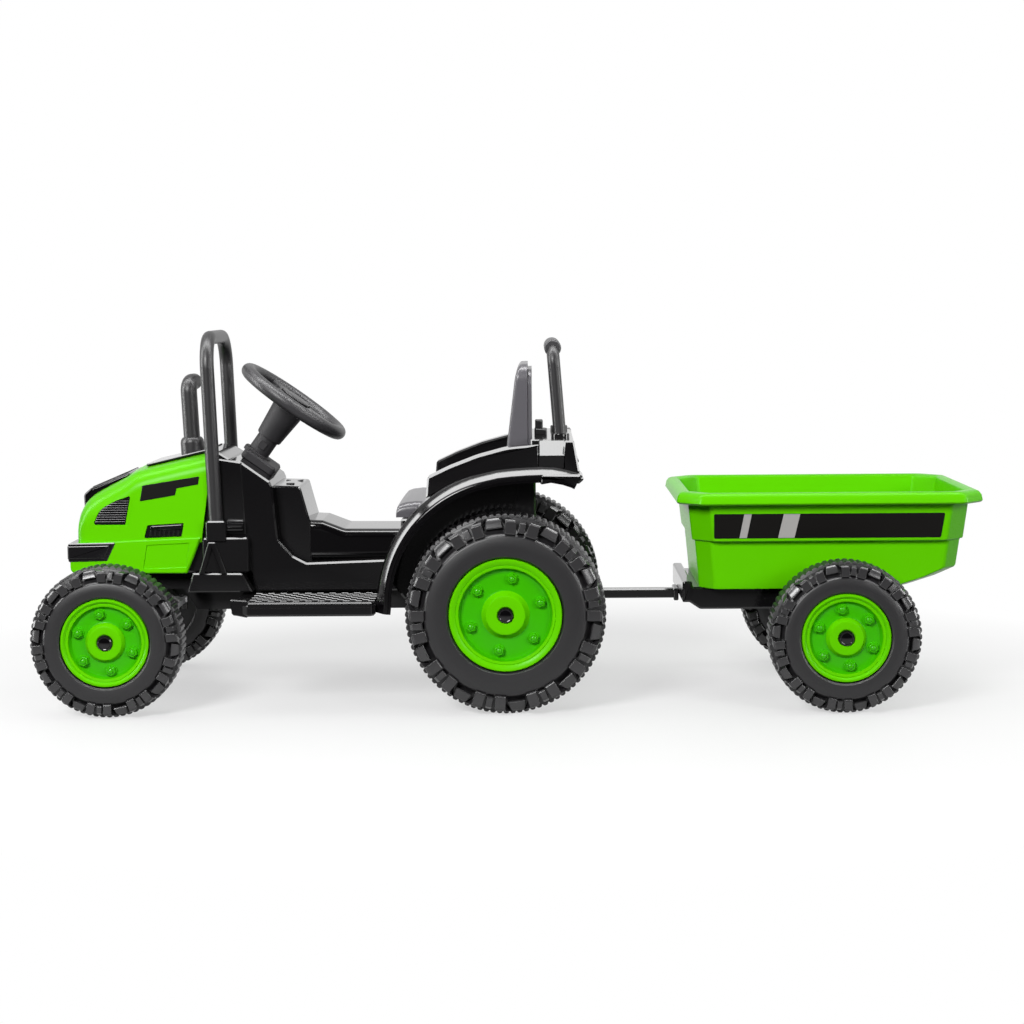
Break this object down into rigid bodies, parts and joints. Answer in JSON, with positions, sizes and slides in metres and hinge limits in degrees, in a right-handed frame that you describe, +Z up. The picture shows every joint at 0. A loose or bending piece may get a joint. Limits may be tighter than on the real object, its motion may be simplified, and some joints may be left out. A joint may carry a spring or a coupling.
{
  "type": "ride-on toy tractor with trailer",
  "caption": "Electric ride-on toy tractor with steerable front wheels, driven lugged rear wheels, roll bar, high-backed seat and a tub trailer on a pinned drawbar.",
  "frame": {"origin": "On the floor, under the middle of the overall box", "axes": "+X runs from the tractor's nose back to the trailer's tail, +Y is the driver's right, +Z is up"},
  "size_m": [1.334, 0.476, 0.5318],
  "materials": {
    "green_body": "glossy moulded",
    "green_rim": "glossy moulded",
    "black_gloss": "glossy moulded",
    "black_satin": "satin moulded",
    "grey_grip": "fine grained",
    "tyre_moulding": "matte moulded",
    "steel": "zinc plated",
    "gear_nylon": "natural nylon",
    "battery_case": "matte"
  },
  "bodies": {
    "tractor": {"bonnet": "green_body", "front_bumper": "green_body", "cowl": "black_gloss", "chassis": "black_gloss", "seat_box": "black_gloss", "fender_left": "black_gloss", "fender_right": "black_gloss", "nose_grille": "black_gloss", "bonnet_top_trim": "black_gloss", "side_vents": "black_gloss", "engine_louvres": "black_gloss", "headlights": "black_gloss", "exhaust_base": "black_gloss", "exhaust_stack": "black_satin", "roll_bar": "black_satin", "roll_bar_knobs": "black_satin", "column_collar": "black_gloss", "seat": "black_satin", "backrest": "black_satin", "rear_handle": "black_satin", "step_left": "black_gloss", "step_right": "black_gloss", "rear_axle": "steel", "gearbox_left": "black_gloss", "gearbox_right": "black_gloss", "drive_motors": "steel", "battery": "battery_case", "front_axle_beam": "black_gloss", "kingpins": "steel", "hitch_bracket": "black_gloss", "hitch_pin": "steel"},
    "steering_wheel": {"steering_wheel": "grey_grip", "steering_column": "black_gloss"},
    "horn_pad": {"horn_pad": "grey_grip"},
    "knuckle_left": {"knuckle_left": "black_gloss"},
    "knuckle_right": {"knuckle_right": "black_gloss"},
    "tie_rod": {"tie_rod": "steel"},
    "accelerator_pedal": {"accelerator_pedal": "black_satin"},
    "direction_switch": {"direction_switch": "black_satin"},
    "power_button": {"power_button": "black_satin"},
    "pinion_left": {"pinion_left": "gear_nylon"},
    "pinion_right": {"pinion_right": "gear_nylon"},
    "trailer": {"drawbar": "black_gloss", "trailer_base": "black_gloss", "trailer_tub": "green_body", "trailer_axle": "steel"},
    "front_left_wheel": {"front_left_tyre": "tyre_moulding", "front_left_rim": "green_rim"},
    "front_right_wheel": {"front_right_tyre": "tyre_moulding", "front_right_rim": "green_rim"},
    "rear_left_wheel": {"rear_left_tyre": "tyre_moulding", "rear_left_rim": "green_rim", "drive_gear_left": "gear_nylon"},
    "rear_right_wheel": {"rear_right_tyre": "tyre_moulding", "rear_right_rim": "green_rim", "drive_gear_right": "gear_nylon"},
    "trailer_left_wheel": {"trailer_left_tyre": "tyre_moulding", "trailer_left_rim": "green_rim"},
    "trailer_right_wheel": {"trailer_right_tyre": "tyre_moulding", "trailer_right_rim": "green_rim"}
  },
  "joints": [
    {"name": "steering", "type": "hinge", "parent": "tractor", "child": "steering_wheel", "pos_m": [-0.3192, 0, 0.4277], "axis": [0.5827, 0, 0.8127], "range_deg": [-45, 45]},
    {"name": "horn_press", "type": "slide", "parent": "steering_wheel", "child": "horn_pad", "axis": [-0.5827, 0, -0.8127], "range_m": [0, 0.0025], "stiffness_N_per_m": 500, "springref_m": -0.003},
    {"name": "knuckle_left_turn", "type": "hinge", "parent": "tractor", "child": "knuckle_left", "pos_m": [-0.561, -0.15, 0.106], "axis": [0, 0, 1], "range_deg": [-22.5, 22.5]},
    {"name": "knuckle_right_turn", "type": "hinge", "parent": "tractor", "child": "knuckle_right", "pos_m": [-0.561, 0.15, 0.106], "axis": [0, 0, 1], "range_deg": [-22.5, 22.5]},
    {"name": "tie_rod_swing", "type": "hinge", "parent": "knuckle_left", "child": "tie_rod", "pos_m": [-0.51686, -0.15, 0.114], "axis": [0, 0, 1], "range_deg": [-22.5, 22.5]},
    {"name": "accelerator_press", "type": "hinge", "parent": "tractor", "child": "accelerator_pedal", "pos_m": [-0.297, 0.15, 0.168], "axis": [0, -1, 0], "range_deg": [0, 12], "stiffness_Nm_per_rad": 0.6, "springref_deg": -6.88},
    {"name": "direction_rock", "type": "hinge", "parent": "tractor", "child": "direction_switch", "pos_m": [-0.323, 0.03, 0.305], "axis": [0, 1, 0], "range_deg": [-8, 8]},
    {"name": "power_press", "type": "slide", "parent": "tractor", "child": "power_button", "axis": [0, 0, -1], "range_m": [0, 0.002], "stiffness_N_per_m": 400, "springref_m": -0.003},
    {"name": "hitch_yaw", "type": "hinge", "parent": "tractor", "child": "trailer", "pos_m": [0.113, 0, 0.1405], "axis": [0, 0, 1], "range_deg": [-40, 40]},
    {"name": "front_left_spin", "type": "hinge", "parent": "knuckle_left", "child": "front_left_wheel", "pos_m": [-0.561, -0.205, 0.106], "axis": [0, 1, 0], "continuous": true},
    {"name": "front_right_spin", "type": "hinge", "parent": "knuckle_right", "child": "front_right_wheel", "pos_m": [-0.561, 0.205, 0.106], "axis": [0, 1, 0], "continuous": true},
    {"name": "rear_left_spin", "type": "hinge", "parent": "tractor", "child": "rear_left_wheel", "pos_m": [-0.007, -0.188, 0.14], "axis": [0, 1, 0], "continuous": true},
    {"name": "rear_right_spin", "type": "hinge", "parent": "tractor", "child": "rear_right_wheel", "pos_m": [-0.007, 0.188, 0.14], "axis": [0, 1, 0], "continuous": true},
    {"name": "trailer_left_spin", "type": "hinge", "parent": "trailer", "child": "trailer_left_wheel", "pos_m": [0.463, -0.201, 0.106], "axis": [0, 1, 0], "continuous": true},
    {"name": "trailer_right_spin", "type": "hinge", "parent": "trailer", "child": "trailer_right_wheel", "pos_m": [0.463, 0.201, 0.106], "axis": [0, 1, 0], "continuous": true},
    {"name": "pinion_left_spin", "type": "hinge", "parent": "tractor", "child": "pinion_left", "pos_m": [-0.05543, -0.098, 0.164], "axis": [0, 1, 0], "continuous": true},
    {"name": "pinion_right_spin", "type": "hinge", "parent": "tractor", "child": "pinion_right", "pos_m": [-0.05543, 0.098, 0.164], "axis": [0, 1, 0], "continuous": true}
  ],
  "couplings": [
    {"joint": "knuckle_left_turn", "follows": "steering", "ratio": 0.5},
    {"joint": "knuckle_right_turn", "follows": "steering", "ratio": 0.5},
    {"joint": "tie_rod_swing", "follows": "steering", "ratio": -0.5},
    {"joint": "pinion_left_spin", "follows": "rear_left_spin", "ratio": -3.5},
    {"joint": "pinion_right_spin", "follows": "rear_right_spin", "ratio": -3.5}
  ]
}
